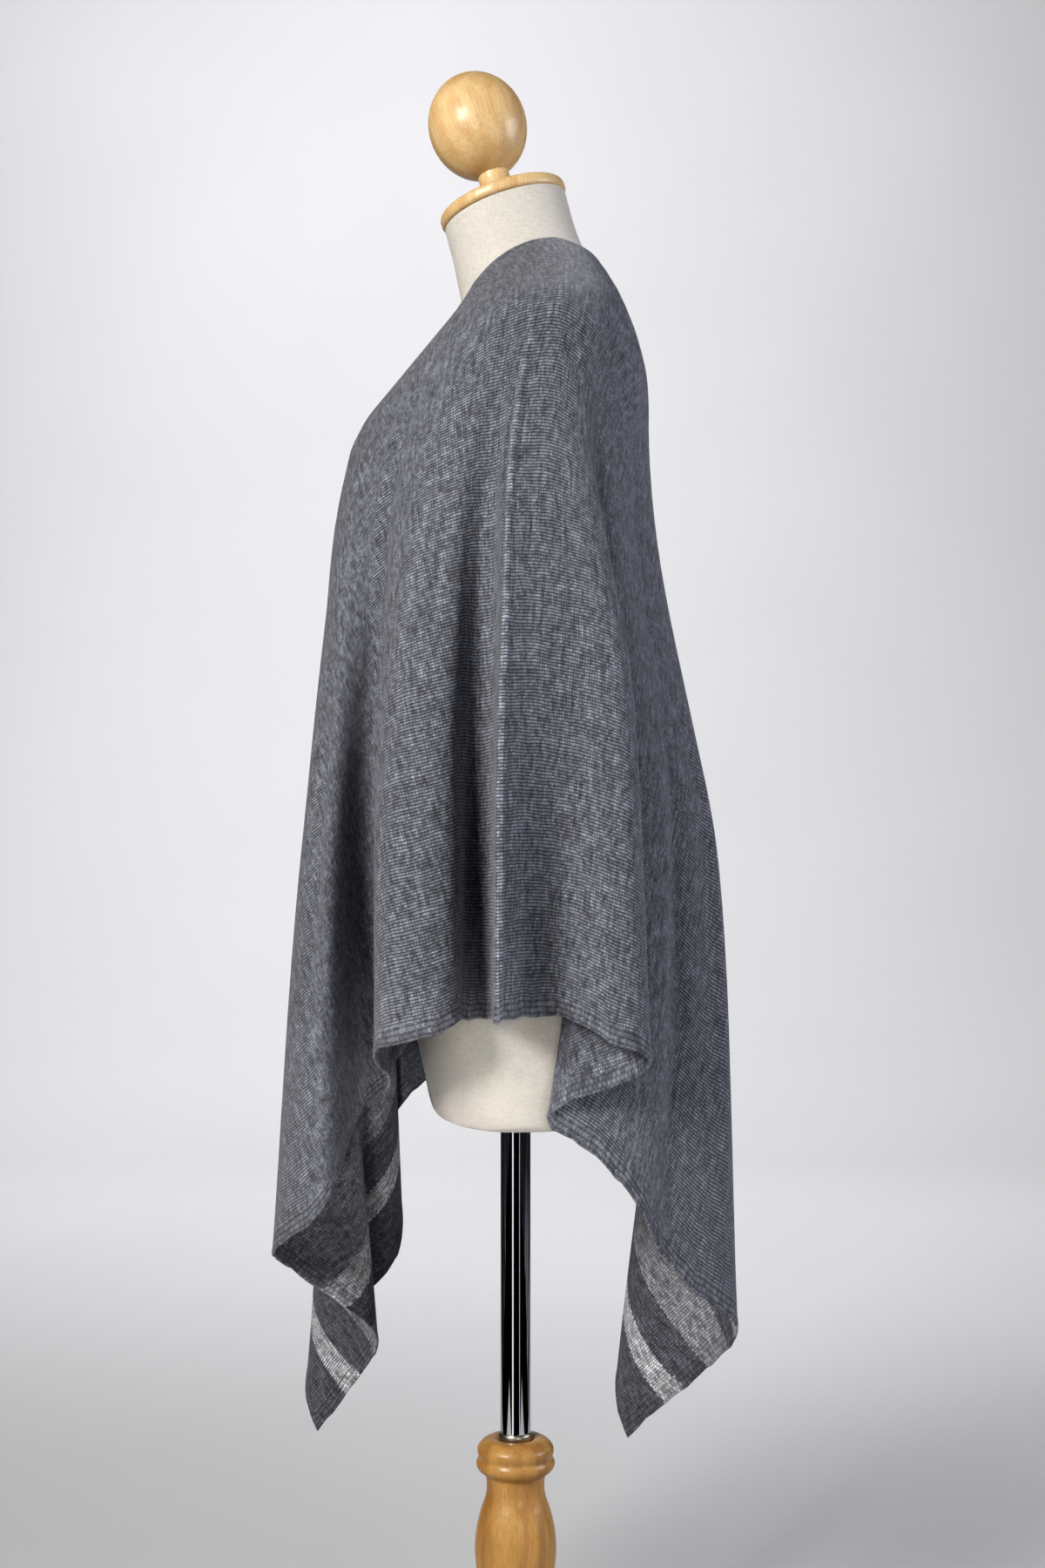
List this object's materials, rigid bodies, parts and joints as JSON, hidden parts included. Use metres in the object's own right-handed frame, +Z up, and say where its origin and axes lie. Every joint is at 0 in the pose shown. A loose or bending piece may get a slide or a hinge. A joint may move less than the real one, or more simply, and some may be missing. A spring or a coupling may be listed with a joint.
{
  "type": "knitted poncho sweater on dress form",
  "caption": "Loose knitted poncho folded over the left shoulder, hanging in points at front and back, on a padded dress form with a ball finial and a turned stand.",
  "frame": {"origin": "on the floor under the pole, at the centre of the foot's flat underside", "axes": "+Z up; the wearer faces -Y; the wearer's left, where the cloth is folded, is +X"},
  "size_m": [0.4903, 0.3755, 1.4374],
  "materials": {
    "knit": "melange grey knit with lighter and darker stripes near the short ends, matt",
    "linen": "stretched off-white linen over padding, matt",
    "wood": "turned light wood, clear satin lacquer",
    "chrome": "bright chrome plate",
    "nickel": "brushed nickel plate"
  },
  "bodies": {
    "root": {"poncho_panel": "knit", "form_torso": "linen", "form_neck_cap": "wood", "form_finial": "wood", "stand_pole": "chrome", "stand_ferrule": "nickel", "stand_column": "wood", "stand_foot": "wood"}
  },
  "joints": []
}
